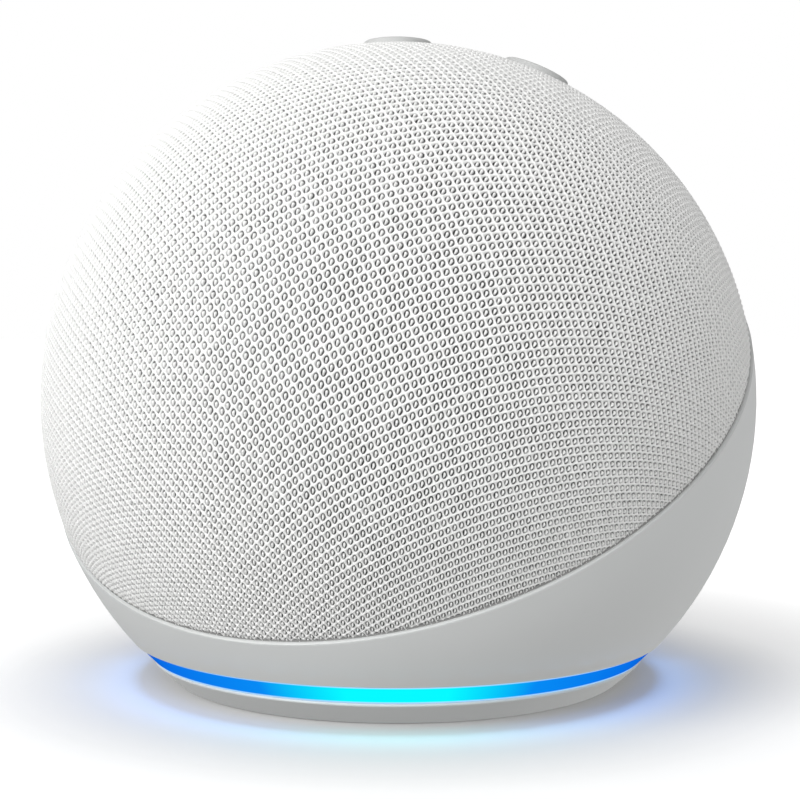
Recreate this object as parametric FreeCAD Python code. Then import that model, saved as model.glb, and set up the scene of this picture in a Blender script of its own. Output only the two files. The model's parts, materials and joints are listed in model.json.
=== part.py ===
import FreeCAD, Part
import math
import os

from FreeCAD import Vector

# Compact smart speaker: a ball flattened at the bottom, with a knitted cover over a grille shell on
# top, a smooth housing below, a light ring at the foot and four push buttons on the crown.
# Millimetres. +Z is up, -Y is the front, and the origin is the middle of the underside.

# ---------------------------------------------------------------- driving dimensions
BALL_R = 50.0                # outside of the smooth housing
BALL_Z = 39.0                # height of the ball's centre
COVER_R = 49.8               # outside of the knitted cover
COVER_T = 0.8                # its thickness
GRILLE_R = 48.95             # outside of the perforated shell under the cover
GRILLE_IN_R = 46.9
GRILLE_HOLE_R = 1.9
GRILLE_RINGS = 6
GRILLE_STEP = 7.6            # degrees between rings of sound holes
GRILLE_AIM = 8.0             # degrees that the middle of the pattern looks up from the front
HOUSING_IN_R = 47.6
EDGE_R = 0.25                # rounding of the moulded shells' edges

SEAM_TILT = 34.3             # degrees from level: the seam is low in front and high at the back
SEAM_OFFSET = 1.0            # the seam plane's distance from the ball's centre
SEAM_GAP = 0.3
TRIM_OUT_R = BALL_R - 0.45   # the band in the gap, a little below both surfaces
TRIM_IN_R = BALL_R - 2.2

FOOT_T = 1.0                 # rubber foot
FOOT_R = 29.5
FOOT_RIM = 4.0               # width of the foot's raised rim
BASE_LOW_Z = 0.15            # the base plate's lower rim
BASE_TOP_Z = 3.35
BASE_EDGE_R = 0.35
BASE_FLOOR_Z = FOOT_T + 1.3  # the base plate's inside
BASE_BOSS_REACH = 17.0       # the four base bosses stand at plus and minus this
RING_LOW_Z = 3.4             # light ring
RING_TOP_Z = 5.9
RING_R = 49.75               # its outside lies on a ball a little smaller than the housing
RING_IN_R = 31.5
LIGHT_GUIDE_IN_R = 30.0
LED_BOARD_Z = RING_TOP_Z + 0.5
LED_BOARD_T = 1.2
LED_COUNT = 12

# Crown coordinates: Z outward along the cluster's axis with 0 on the ball, X across, Y to the rear.
CROWN_TILT = 16.4            # degrees: the button cluster leans to the rear
CROWN_HEADING = -20.0        # degrees about Z from straight back; the cross of buttons turns with it
BUTTON_R = 4.7
BUTTON_PROUD = 0.65
BUTTON_REACH = 14.1          # from the cluster's middle
BUTTON_HOLE_R = 4.95
BUTTON_EDGE = 0.35           # rounding of a button's rim
STEM_R = 3.0
PLUNGER_R = 1.6
RUNNING = 0.05               # radial clearance of a running fit
FLANGE_TOP = -7.8            # the flange that keeps a button in, just under the shell
FLANGE_T = 0.8
FLANGE_R = 5.4
GUIDE_TOP = FLANGE_TOP - 2.2
GUIDE_LOW = GUIDE_TOP - 2.0
GUIDE_R = 21.5
STEM_END = GUIDE_LOW - 0.8
SWITCH_TOP = STEM_END - 0.8
SWITCH_SIZE = 6.0
PLUNGER_END = SWITCH_TOP - 0.9
SWITCH_BORE_END = PLUNGER_END - 0.9
BUTTON_BOARD_TOP = SWITCH_TOP - 3.4
BUTTON_BOARD_T = 1.4
BUTTON_BOARD_R = 21.0
BUTTON_BOARD_LOW = BUTTON_BOARD_TOP - BUTTON_BOARD_T
PILLAR_REACH = 8.0
PILLAR_R = 2.0
BOSS_REACH = 14.5
BOSS_R = 2.6
MIC_REACH = 17.5
MIC_SPREAD = 25.0            # degrees of each microphone from the line across the cluster
MIC_T = 1.0

PORT_Z = 18.6                # height of the two sockets
PORT_FACE_Y = 40.5           # floor of the port recess
PORT_HALF_X = 16.0
PORT_LOW_Z = PORT_Z - 6.6
PORT_HIGH_Z = PORT_Z + 6.6
PORT_CORNER = 4.0
BEZEL_WALL = 1.2
SOCKET_BACK_Y = PORT_FACE_Y - 1.6
NOSE_LENGTH = 2.0            # the sockets' round noses through the bezel
POWER_X = -7.0
POWER_BORE_R = 2.85
POWER_DEPTH = 9.5            # how far the inlet is open, from its mouth
POWER_COLLAR = 2.8           # its collar guides the plug; behind it the bore is a little wider
POWER_CHAMBER_R = 3.05
AUDIO_X = 7.5
AUDIO_BORE_R = 1.8
AUDIO_DEPTH = 14.0

CHASSIS_Z = RING_TOP_Z + 2.0  # it rests on the housing's flange
CHASSIS_T = 1.7
CHASSIS_R = 35.6
CHASSIS_TOP = CHASSIS_Z + CHASSIS_T
POST_X = 26.0                # posts that carry the loudspeaker's enclosure
POST_YS = (-13.0, 11.0)
POST_R = 3.0
POST_TOP = 30.0
EAR_T = 2.0
BOARD_Z = 12.4
BOARD_T = 1.6
BOARD_TOP = BOARD_Z + BOARD_T
STANDOFFS = [(-18.0, -22.0), (18.0, -22.0), (-18.0, 24.0), (18.0, 24.0)]
CHIPS = [(-5.0, -12.0, 11.0, 1.1), (8.0, -14.0, 8.0, 1.0), (7.0, -3.0, 7.0, 0.9), (-6.0, 0.0, 6.0, 0.8)]
SHIELD_TOP = BOARD_TOP + 1.7
SHIELD_WALL = 0.4
CABLE_Y = -21.0              # the ring board's cable

# Driver coordinates: Z forward along the driver's axis with 0 on the baffle's face.
DRIVER_Z = 42.0              # loudspeaker axis, along -Y
BAFFLE_Y = -38.0             # its mounting face
FRAME_R = 21.0
FRAME_T = 1.2
THROAT_R = 18.4              # opening in the baffle and its gasket
COIL_IN_R = 8.25
COIL_OUT_R = 8.75
COIL_FRONT = -4.5
CONE_OUT_R = 15.4
CONE_EDGE_Z = -0.3
POLE_R = 8.0
PLATE_FRONT = -11.0          # the magnet system's faces, front to back
MAGNET_FRONT = -13.5
MAGNET_BACK = -19.5
YOKE_BACK = -22.0
EARS_REACH = 20.2
ENCLOSURE_R = 24.0
ENCLOSURE_END_Y = 12.0
ENCLOSURE_WALL = 1.8
GASKET_T = 0.6
BAFFLE_T = 2.0
BAFFLE_BACK = -GASKET_T - BAFFLE_T

X_AXIS = Vector(1, 0, 0)
Y_AXIS = Vector(0, 1, 0)
Z_AXIS = Vector(0, 0, 1)
CENTRE = Vector(0, 0, BALL_Z)
REACH = 120.0                # well outside the body

SEAM_PLACE = FreeCAD.Placement(CENTRE, FreeCAD.Rotation(X_AXIS, SEAM_TILT))
CROWN_ROTATION = FreeCAD.Rotation(Z_AXIS, CROWN_HEADING).multiply(FreeCAD.Rotation(X_AXIS, -CROWN_TILT))
CROWN_PLACE = FreeCAD.Placement(CENTRE + CROWN_ROTATION.multVec(Vector(0, 0, BALL_R)), CROWN_ROTATION)
DRIVER_PLACE = FreeCAD.Placement(Vector(0, BAFFLE_Y, DRIVER_Z), FreeCAD.Rotation(X_AXIS, 90))

CORNERS = [(sx, sy) for sx in (-1, 1) for sy in (-1, 1)]
BUTTONS = {
    "volume_up": (BUTTON_REACH, 0.0),
    "volume_down": (-BUTTON_REACH, 0.0),
    "action": (0.0, -BUTTON_REACH),
    "mic_mute": (0.0, BUTTON_REACH),
}


# ---------------------------------------------------------------- helpers
def ball(radius):
    return Part.makeSphere(radius, CENTRE)


def ball_shell(outer, inner):
    return ball(outer).cut(ball(inner))


def disc(radius, z_low, z_high, x=0.0, y=0.0):
    return Part.makeCylinder(radius, z_high - z_low, Vector(x, y, z_low), Z_AXIS)


def annulus(outer, inner, z_low, z_high):
    return disc(outer, z_low, z_high).cut(disc(inner, z_low - 1, z_high + 1))


def box(x, y, z):
    """A box from three (low, high) pairs."""
    size = [high - low for low, high in (x, y, z)]
    return Part.makeBox(size[0], size[1], size[2], Vector(x[0], y[0], z[0]))


def rounded_box(x, y, z, radius):
    """A box whose four edges along Y are rounded."""
    solid = box(x, y, z)
    along_y = [e for e in solid.Edges if abs(e.tangentAt(e.FirstParameter).y) > 0.9]
    return solid.makeFillet(radius, along_y)


def turned(points, axis_place=None):
    """A closed outline of (radius, height) points turned about the Z axis."""
    corners = [Vector(r, 0, h) for r, h in points]
    corners.append(corners[0])
    solid = Part.Face(Part.makePolygon(corners)).revolve(Vector(0, 0, 0), Z_AXIS, 360)
    if axis_place is not None:
        solid.Placement = axis_place
    return solid


def group(solids):
    return Part.makeCompound(solids)


def joined(solids):
    first = solids[0]
    return first.fuse(solids[1:]).removeSplitter()


def save(name, shape):
    for solid in shape.Solids:
        if not solid.isValid():
            print("not valid:", name)
    shape.exportStep("parts/%s.step" % name)
    print("%-24s solids %2d  volume %9.1f" % (name, len(shape.Solids), shape.Volume))


# ---------------------------------------------------------------- the seam between cover and housing


def above_seam(height):
    """Everything on the cover's side of the seam plane, moved by height."""
    slab = box((-REACH, REACH), (-REACH, REACH), (height, REACH))
    slab.Placement = SEAM_PLACE
    return slab


def below_seam(height):
    slab = box((-REACH, REACH), (-REACH, REACH), (-REACH, height))
    slab.Placement = SEAM_PLACE
    return slab


# ---------------------------------------------------------------- the crown: buttons and their board


def on_crown(shape):
    shape.Placement = CROWN_PLACE
    return shape


def crown_ball(radius):
    """The ball in crown coordinates, turned so that no pole or seam line meets a button."""
    middle = Vector(0, 0, -BALL_R)
    turned_ball = Part.makeSphere(radius, middle)
    turned_ball.rotate(middle, X_AXIS, 90)
    return turned_ball


def button(x, y):
    """A cap with a domed top, a flange that keeps it in, and a stem."""
    cap = disc(BUTTON_R, FLANGE_TOP - FLANGE_T, 4.0, x, y).common(crown_ball(BALL_R + BUTTON_PROUD))
    rim = [e for e in cap.Edges if e.BoundBox.ZMin > FLANGE_TOP + 2.0 and e.BoundBox.XLength > BUTTON_R]
    cap = cap.makeFillet(BUTTON_EDGE, rim)
    flange = disc(FLANGE_R, FLANGE_TOP - FLANGE_T, FLANGE_TOP, x, y)
    stem = disc(STEM_R, STEM_END, FLANGE_TOP - FLANGE_T, x, y)
    return on_crown(joined([cap, flange, stem]))


def plunger(x, y):
    return on_crown(disc(PLUNGER_R, PLUNGER_END, STEM_END, x, y))


def button_openings(radius):
    return on_crown(group([disc(radius, FLANGE_TOP - 0.5, 6.0, x, y) for x, y in BUTTONS.values()]))


def button_guide():
    """A plate with one bore for each stem, on four pillars that stand on the button board."""
    plate = disc(GUIDE_R, GUIDE_LOW, GUIDE_TOP)
    pillars = [disc(PILLAR_R, BUTTON_BOARD_TOP, GUIDE_LOW, sx * PILLAR_REACH, sy * PILLAR_REACH)
               for sx, sy in CORNERS]
    body = joined([plate] + pillars)
    bores = [disc(STEM_R + RUNNING, GUIDE_LOW - 0.5, GUIDE_TOP + 0.5, x, y) for x, y in BUTTONS.values()]
    clearance = [disc(1.1, GUIDE_LOW - 1, GUIDE_TOP + 1, sx * BOSS_REACH, sy * BOSS_REACH)
                 for sx, sy in CORNERS]
    tapped = [disc(0.9, BUTTON_BOARD_TOP - 1, BUTTON_BOARD_TOP + 4, sx * PILLAR_REACH, sy * PILLAR_REACH)
              for sx, sy in CORNERS]
    return on_crown(body.cut(bores + clearance + tapped))


def guide_screws():
    """Four screws up through the guide plate into the grille shell's bosses."""
    solids = []
    for sx, sy in CORNERS:
        x, y = sx * BOSS_REACH, sy * BOSS_REACH
        head = disc(2.0, GUIDE_LOW - 1.4, GUIDE_LOW, x, y)
        shank = disc(1.0, GUIDE_LOW, GUIDE_TOP + 2.0, x, y)
        solids.append(joined([head, shank]))
    return on_crown(group(solids))


def button_board():
    board = disc(BUTTON_BOARD_R, BUTTON_BOARD_LOW, BUTTON_BOARD_TOP)
    holes = [disc(1.1, BUTTON_BOARD_TOP - 3, BUTTON_BOARD_TOP + 1, sx * PILLAR_REACH, sy * PILLAR_REACH)
             for sx, sy in CORNERS]
    return on_crown(board.cut(holes))


def button_board_screws():
    solids = []
    for sx, sy in CORNERS:
        x, y = sx * PILLAR_REACH, sy * PILLAR_REACH
        head = disc(1.9, BUTTON_BOARD_LOW - 1.3, BUTTON_BOARD_LOW, x, y)
        shank = disc(0.9, BUTTON_BOARD_LOW, BUTTON_BOARD_TOP + 3.5, x, y)
        solids.append(joined([head, shank]))
    return on_crown(group(solids))


def tact_switches():
    half = SWITCH_SIZE / 2
    solids = []
    for x, y in BUTTONS.values():
        body = box((x - half, x + half), (y - half, y + half), (BUTTON_BOARD_TOP, SWITCH_TOP))
        solids.append(body.cut(disc(PLUNGER_R + RUNNING, SWITCH_BORE_END, SWITCH_TOP + 1, x, y)))
    return on_crown(group(solids))


def mic_places():
    across = MIC_REACH * math.cos(math.radians(MIC_SPREAD))
    along = MIC_REACH * math.sin(math.radians(MIC_SPREAD))
    return [(sx * across, sy * along) for sx, sy in CORNERS]


def microphones():
    cans = [box((x - 1.75, x + 1.75), (y - 1.3, y + 1.3), (BUTTON_BOARD_TOP, BUTTON_BOARD_TOP + MIC_T))
            for x, y in mic_places()]
    return on_crown(group(cans))


def mic_seals():
    """A foam tube from each microphone up to the guide plate."""
    solids = []
    for x, y in mic_places():
        tube = disc(1.6, BUTTON_BOARD_TOP + MIC_T, GUIDE_LOW, x, y)
        solids.append(tube.cut(disc(0.6, BUTTON_BOARD_TOP, GUIDE_LOW + 1, x, y)))
    return on_crown(group(solids))


# ---------------------------------------------------------------- outer shells
def fabric_cover():
    cover = ball_shell(COVER_R, COVER_R - COVER_T).common(above_seam(SEAM_OFFSET + SEAM_GAP / 2))
    return cover.cut(button_openings(BUTTON_HOLE_R))


def grille_holes():
    """Rings of sound holes about the loudspeaker's axis, each six holes longer than the last."""
    aim = FreeCAD.Rotation(X_AXIS, 90 - GRILLE_AIM)
    pins = []
    for ring in range(GRILLE_RINGS):
        count = max(1, 6 * ring)
        for k in range(count):
            swing = FreeCAD.Rotation(Z_AXIS, 360.0 * (k + 0.5 * (ring % 2)) / count)
            lean = FreeCAD.Rotation(Y_AXIS, GRILLE_STEP * ring)
            way = aim.multVec(swing.multVec(lean.multVec(Z_AXIS)))
            pins.append(Part.makeCylinder(GRILLE_HOLE_R, 6.0, CENTRE + way * (GRILLE_IN_R - 2.0), way))
    return pins


def grille_shell():
    """The stiff shell under the cover, with sound holes, button holes and four bosses."""
    shell = ball_shell(GRILLE_R, GRILLE_IN_R).common(above_seam(SEAM_OFFSET + SEAM_GAP / 2))
    bosses = [disc(BOSS_R, GUIDE_TOP, -5.0, sx * BOSS_REACH, sy * BOSS_REACH) for sx, sy in CORNERS]
    bosses = on_crown(group(bosses)).common(ball(GRILLE_IN_R + 0.5))
    shell = joined([shell] + bosses.Solids)
    tapped = on_crown(group([disc(1.0, GUIDE_TOP - 1, GUIDE_TOP + 2.2, sx * BOSS_REACH, sy * BOSS_REACH)
                             for sx, sy in CORNERS]))
    return shell.cut([button_openings(BUTTON_HOLE_R), tapped] + grille_holes())


def seam_trim():
    """A thin band in the gap between cover and housing, a little below both surfaces."""
    band = ball_shell(TRIM_OUT_R, TRIM_IN_R)
    band = band.common(above_seam(SEAM_OFFSET - SEAM_GAP / 2))
    return band.common(below_seam(SEAM_OFFSET + SEAM_GAP / 2))


def port_block(inset, y_low, y_high):
    return rounded_box((-PORT_HALF_X + inset, PORT_HALF_X - inset), (y_low, y_high),
                       (PORT_LOW_Z + inset, PORT_HIGH_Z - inset), PORT_CORNER - inset)


def is_round_edge(edge, radius):
    """True for a circle that lies on a ball about the centre."""
    if not isinstance(edge.Curve, Part.Circle):
        return False
    on_ball = all(abs((v.Point - CENTRE).Length - radius) < 0.001 for v in edge.Vertexes)
    return on_ball and edge.Curve.Radius < radius - 0.001


def lower_housing():
    """The smooth housing: a slice of ball shell with a flange at its foot and a port opening."""
    shell = ball_shell(BALL_R, HOUSING_IN_R).common(below_seam(SEAM_OFFSET - SEAM_GAP / 2))
    shell = shell.cut(disc(60, -15, RING_TOP_Z + 0.05))
    outer_edges = [e for e in shell.Edges if is_round_edge(e, BALL_R)]
    shell = shell.makeFillet(EDGE_R, outer_edges)
    flange = annulus(40.0, RING_IN_R, RING_TOP_Z + 0.05, RING_TOP_Z + 2.0).common(ball(BALL_R - 1.0))
    return joined([shell, flange]).cut(port_block(0.0, 30.0, 60.0))


def port_bezel():
    """A lined recess in the rear wall, with a hole for each socket."""
    block = port_block(0.1, PORT_FACE_Y - 1.5, 60.0).common(ball(BALL_R - 0.1))
    recess = port_block(0.1 + BEZEL_WALL, PORT_FACE_Y, 60.0)
    holes = [Part.makeCylinder(radius, 10, Vector(x, PORT_FACE_Y - 5, PORT_Z), Y_AXIS)
             for x, radius in ((POWER_X, 4.5), (AUDIO_X, 3.2))]
    return block.cut([recess] + holes)


def light_ring():
    band = ball(RING_R).common(disc(60, RING_LOW_Z, RING_TOP_Z))
    return band.cut(disc(RING_IN_R, 0, 10))


def light_guide():
    return annulus(RING_IN_R - 0.05, LIGHT_GUIDE_IN_R, RING_LOW_Z + 0.1, RING_TOP_Z + 0.4)


def led_board():
    board = annulus(29.6, 19.0, LED_BOARD_Z, LED_BOARD_Z + LED_BOARD_T)
    return board.cut([disc(3.4, 0, 20, sx * BASE_BOSS_REACH, sy * BASE_BOSS_REACH) for sx, sy in CORNERS])


def ring_leds():
    solids = []
    for k in range(LED_COUNT):
        led = box((27.3, 29.3), (-1.6, 1.6), (LED_BOARD_Z - 1.5, LED_BOARD_Z))
        led.rotate(Vector(0, 0, 0), Z_AXIS, 360.0 * (k + 0.5) / LED_COUNT)
        solids.append(led)
    return group(solids)


def base_plate():
    """The foot of the body: it carries on the ball's curve down to a rounded lower edge."""
    skin = ball(BALL_R).common(disc(60, BASE_LOW_Z, BASE_TOP_Z))
    low_edge = [e for e in skin.Edges if e.BoundBox.ZMax < BASE_LOW_Z + 0.01]
    top_edge = [e for e in skin.Edges if e.BoundBox.ZMin > BASE_TOP_Z - 0.01]
    skin = skin.makeFillet(BASE_EDGE_R, low_edge).makeFillet(EDGE_R, top_edge)
    hollow = disc(LIGHT_GUIDE_IN_R, BASE_FLOOR_Z, 10)
    recess = disc(FOOT_R + 0.1, -1, FOOT_T)
    holes = [disc(1.6, -1, 6, sx * BASE_BOSS_REACH, sy * BASE_BOSS_REACH) for sx, sy in CORNERS]
    return skin.cut([hollow, recess] + holes)


def rubber_foot():
    """A soft disc with a raised rim that the speaker stands on."""
    pad = disc(FOOT_R, 0, FOOT_T)
    pad = pad.makeFillet(0.3, [e for e in pad.Edges if e.BoundBox.ZMax < 0.01])
    return pad.cut(disc(FOOT_R - FOOT_RIM, -1, 0.3))


def base_screws():
    """Four screws up through the base plate into the chassis bosses, hidden by the foot."""
    solids = []
    for sx, sy in CORNERS:
        x, y = sx * BASE_BOSS_REACH, sy * BASE_BOSS_REACH
        head = disc(2.6, BASE_FLOOR_Z, BASE_FLOOR_Z + 1.2, x, y)
        shank = disc(1.25, BASE_FLOOR_Z + 1.2, FOOT_T + 7.0, x, y)
        solids.append(joined([head, shank]))
    return group(solids)


# ---------------------------------------------------------------- chassis and main board
def chassis():
    """A disc with bosses down to the base, standoffs for the board and posts for the enclosure."""
    plate = disc(CHASSIS_R, CHASSIS_Z, CHASSIS_TOP)
    bosses = [disc(3.0, FOOT_T + 2.6, CHASSIS_Z, sx * BASE_BOSS_REACH, sy * BASE_BOSS_REACH)
              for sx, sy in CORNERS]
    standoffs = [disc(2.4, CHASSIS_TOP, BOARD_Z, x, y) for x, y in STANDOFFS]
    posts = [disc(POST_R, CHASSIS_Z, POST_TOP, sx * POST_X, y) for sx in (-1, 1) for y in POST_YS]
    body = joined([plate] + bosses + standoffs + posts)
    tapped = [disc(1.25, 0, FOOT_T + 7.0, sx * BASE_BOSS_REACH, sy * BASE_BOSS_REACH)
              for sx, sy in CORNERS]
    tapped += [disc(1.0, BOARD_Z - 3.5, BOARD_Z + 1, x, y) for x, y in STANDOFFS]
    tapped += [disc(1.2, POST_TOP - 7.0, POST_TOP + 1, sx * POST_X, y)
               for sx in (-1, 1) for y in POST_YS]
    cable_slot = disc(2.0, 0, 20, 0, CABLE_Y)
    return body.cut(tapped + [cable_slot])


def main_board():
    board = box((-22, 22), (-27, 38), (BOARD_Z, BOARD_TOP)).common(disc(37.5, 0, 30))
    return board.cut([disc(1.1, 0, 30, x, y) for x, y in STANDOFFS])


def board_screws():
    solids = []
    for x, y in STANDOFFS:
        head = disc(1.9, BOARD_TOP, BOARD_TOP + 1.3, x, y)
        solids.append(joined([head, disc(1.0, BOARD_TOP - 4.5, BOARD_TOP, x, y)]))
    return group(solids)


def board_chips():
    """Processor, memory, radio and power chips: middle, size and height of each."""
    return group([box((x - s / 2, x + s / 2), (y - s / 2, y + s / 2), (BOARD_TOP, BOARD_TOP + h))
                  for x, y, s, h in CHIPS])


def rf_shield():
    half_x, front, back = 14.0, -20.0, 5.0
    can = box((-half_x, half_x), (front, back), (BOARD_TOP, SHIELD_TOP))
    inside_x, inside_y = half_x - SHIELD_WALL, (front + SHIELD_WALL, back - SHIELD_WALL)
    return can.cut(box((-inside_x, inside_x), inside_y, (BOARD_TOP - 1, SHIELD_TOP - SHIELD_WALL)))


def thermal_pad():
    return box((-8, 8), (-16, 0), (SHIELD_TOP, SHIELD_TOP + 0.5))


def heat_spreader():
    plate = box((-13, 13), (-19, 4), (SHIELD_TOP + 0.5, SHIELD_TOP + 1.5))
    return plate.makeFillet(2.0, [e for e in plate.Edges if e.BoundBox.ZLength > 0.9])


def power_capacitors():
    solids = []
    for x in (-18.0, 18.0):
        can = disc(3.1, BOARD_TOP, BOARD_TOP + 8.0, x, 17.0)
        solids.append(can.makeFillet(0.4, [e for e in can.Edges if e.BoundBox.ZMin > BOARD_TOP + 7.9]))
    return group(solids)


def antennas():
    return group([box((x, x + 0.8), (-7, 7), (CHASSIS_TOP, CHASSIS_Z + 13.0))
                  for x in (-32.0, 31.2)])


def socket(x, half_width, top, nose_r, bore_r, bore_length, length):
    """A board-mounted socket: a block with a round nose through the bezel, and a blind bore."""
    body = box((x - half_width, x + half_width), (SOCKET_BACK_Y - length, SOCKET_BACK_Y),
               (BOARD_TOP, top))
    nose = Part.makeCylinder(nose_r, NOSE_LENGTH, Vector(x, SOCKET_BACK_Y, PORT_Z), Y_AXIS)
    mouth_y = SOCKET_BACK_Y + NOSE_LENGTH
    bore = Part.makeCylinder(bore_r, bore_length + 1, Vector(x, mouth_y - bore_length, PORT_Z), Y_AXIS)
    return joined([body, nose]).cut(bore)


def power_inlet():
    body = socket(POWER_X, 5.0, PORT_Z + 4.8, 4.4, POWER_BORE_R, POWER_COLLAR, 13.0)
    back_y = SOCKET_BACK_Y + NOSE_LENGTH - POWER_DEPTH
    return body.cut(Part.makeCylinder(POWER_CHAMBER_R, POWER_DEPTH - POWER_COLLAR,
                                      Vector(POWER_X, back_y, PORT_Z), Y_AXIS))


def power_inlet_pin():
    """The contact in the middle of the inlet, well behind its mouth."""
    back_y = SOCKET_BACK_Y + NOSE_LENGTH - POWER_DEPTH
    pin = Part.makeCylinder(1.0, 6.5, Vector(POWER_X, back_y, PORT_Z), Y_AXIS)
    return pin.makeFillet(0.5, [e for e in pin.Edges if e.BoundBox.YMin > back_y + 6.4])


def audio_socket():
    return socket(AUDIO_X, 4.0, PORT_Z + 4.0, 3.1, AUDIO_BORE_R, AUDIO_DEPTH, 15.0)


# ---------------------------------------------------------------- loudspeaker
def ear_places():
    """Where the four screws of the driver stand, in driver coordinates."""
    turns = [math.radians(45 + 90 * k) for k in range(4)]
    return [(EARS_REACH * math.cos(a), EARS_REACH * math.sin(a)) for a in turns]


def driver(points):
    return turned(points, DRIVER_PLACE)


def driver_basket():
    cup = turned([(18.3, 0), (FRAME_R, 0), (FRAME_R, FRAME_T), (17.6, FRAME_T), (17.6, 0), (11.4, -9.9),
                  (9.2, -9.9), (9.2, PLATE_FRONT), (12.2, PLATE_FRONT)])
    ears = [disc(2.4, 0, FRAME_T, x, y) for x, y in ear_places()]
    ears = [ear.cut(disc(17.6, -1, 3)) for ear in ears]
    windows = []
    for k in range(4):
        window = box((10, 25), (-4.5, 4.5), (-8.2, -1.8))
        window.rotate(Vector(0, 0, 0), Z_AXIS, 90.0 * k)
        windows.append(window)
    holes = [disc(1.0, -1, 3, x, y) for x, y in ear_places()]
    basket = joined([cup] + ears).cut(windows + holes)
    basket.Placement = DRIVER_PLACE
    return basket


def driver_screws():
    solids = []
    for x, y in ear_places():
        solids.append(joined([disc(1.6, FRAME_T, 2.1, x, y), disc(0.9, BAFFLE_BACK, FRAME_T, x, y)]))
    screws = group(solids)
    screws.Placement = DRIVER_PLACE
    return screws


def driver_top_plate():
    return driver([(9.0, MAGNET_FRONT), (14.0, MAGNET_FRONT), (14.0, PLATE_FRONT), (9.0, PLATE_FRONT)])


def driver_magnet():
    return driver([(9.8, MAGNET_BACK), (15.0, MAGNET_BACK), (15.0, MAGNET_FRONT), (9.8, MAGNET_FRONT)])


def driver_yoke():
    return driver([(0, YOKE_BACK), (14.5, YOKE_BACK), (14.5, MAGNET_BACK), (POLE_R, MAGNET_BACK),
                   (POLE_R, PLATE_FRONT), (0, PLATE_FRONT)])


def voice_coil():
    back = COIL_FRONT - 12.0
    return driver([(COIL_IN_R, back), (COIL_OUT_R, back), (COIL_OUT_R, COIL_FRONT), (COIL_IN_R, COIL_FRONT)])


def spider():
    """The corrugated suspension between the coil and the basket."""
    waves = 3
    inner, outer, height, thick = COIL_OUT_R, 11.9, -8.5, 0.25
    top, low = [], []
    for k in range(2 * waves + 1):
        r = inner + (outer - inner) * k / (2.0 * waves)
        h = height + (0.35 if k % 2 else -0.35)
        top.append((r, h + thick))
        low.append((r, h))
    return driver(low + top[::-1])


def speaker_cone():
    return driver([(COIL_OUT_R, COIL_FRONT - 0.5), (COIL_OUT_R, COIL_FRONT), (14.9, CONE_EDGE_Z),
                   (CONE_OUT_R, CONE_EDGE_Z), (CONE_OUT_R, CONE_EDGE_Z - 0.4), (15.0, CONE_EDGE_Z - 0.5)])


def dust_cap():
    """A shallow dome over the coil."""
    rise, thick, steps = 2.2, 0.4, 6
    outer, inner = [], []
    for k in range(steps + 1):
        t = k / float(steps)
        outer.append((COIL_OUT_R * t, COIL_FRONT + thick + rise * (1 - t * t)))
        inner.append((COIL_OUT_R * t, COIL_FRONT + rise * (1 - t * t)))
    return driver(outer + inner[::-1])


def surround():
    """A half-round rubber roll between the cone's edge and the frame."""
    middle, roll, thick, steps = 16.9, 1.1, 0.4, 8
    outer, inner = [], []
    for k in range(steps + 1):
        a = math.pi * k / steps
        outer.append((middle - (roll + thick) * math.cos(a), FRAME_T + (roll + thick) * math.sin(a)))
        inner.append((middle - roll * math.cos(a), FRAME_T + roll * math.sin(a)))
    lip = [(18.5, FRAME_T), (18.5, FRAME_T + thick)]
    return driver([(CONE_OUT_R, CONE_EDGE_Z)] + outer[1:-1] + lip[::-1] + inner[::-1])


def screw_holes(radius):
    """Holes for the driver's screws, in driver coordinates."""
    return [disc(radius, -5, 1, x, y) for x, y in ear_places()]


def driver_gasket():
    ring = annulus(ENCLOSURE_R - 0.4, THROAT_R, -GASKET_T, 0).cut(screw_holes(1.0))
    ring.Placement = DRIVER_PLACE
    return ring


def front_baffle():
    plate = annulus(ENCLOSURE_R, THROAT_R, BAFFLE_BACK, -GASKET_T).cut(screw_holes(0.9))
    plate.Placement = DRIVER_PLACE
    return plate


def speaker_enclosure():
    """A closed cup behind the driver, with an ear on each side for the chassis posts."""
    depth = ENCLOSURE_END_Y - BAFFLE_Y
    inner_r = ENCLOSURE_R - ENCLOSURE_WALL
    cup = turned([(0, -depth), (ENCLOSURE_R - 4, -depth), (ENCLOSURE_R, -depth + 4),
                  (ENCLOSURE_R, BAFFLE_BACK), (inner_r, BAFFLE_BACK), (inner_r, -depth + 5),
                  (ENCLOSURE_R - 5, -depth + ENCLOSURE_WALL), (0, -depth + ENCLOSURE_WALL)])
    cup.Placement = DRIVER_PLACE
    keep_out = Part.makeCylinder(ENCLOSURE_R - 0.5, 80, Vector(0, -50, DRIVER_Z), Y_AXIS)
    ears = []
    for sx in (-1, 1):
        low, high = sorted((sx * 18.0, sx * 29.4))
        for y in POST_YS:
            ear = box((low, high), (y - 3.2, y + 3.2), (POST_TOP, POST_TOP + EAR_T)).cut(keep_out)
            ears += ear.cut(disc(1.3, 0, 60, sx * POST_X, y)).Solids
    return joined([cup] + ears)


def enclosure_screws():
    solids = []
    for sx in (-1, 1):
        for y in POST_YS:
            head = disc(2.3, POST_TOP + EAR_T, POST_TOP + EAR_T + 1.4, sx * POST_X, y)
            shank = disc(1.2, POST_TOP - 6.0, POST_TOP + EAR_T, sx * POST_X, y)
            solids.append(joined([head, shank]))
    return group(solids)


# ---------------------------------------------------------------- wires
def wire(points, radius):
    """Straight runs of round wire with a ball at each corner."""
    pieces = []
    for start, end in zip(points, points[1:]):
        run = end - start
        pieces.append(Part.makeCylinder(radius, run.Length, start, run))
    pieces += [Part.makeSphere(radius, corner) for corner in points[1:-1]]
    return joined(pieces)


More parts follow.
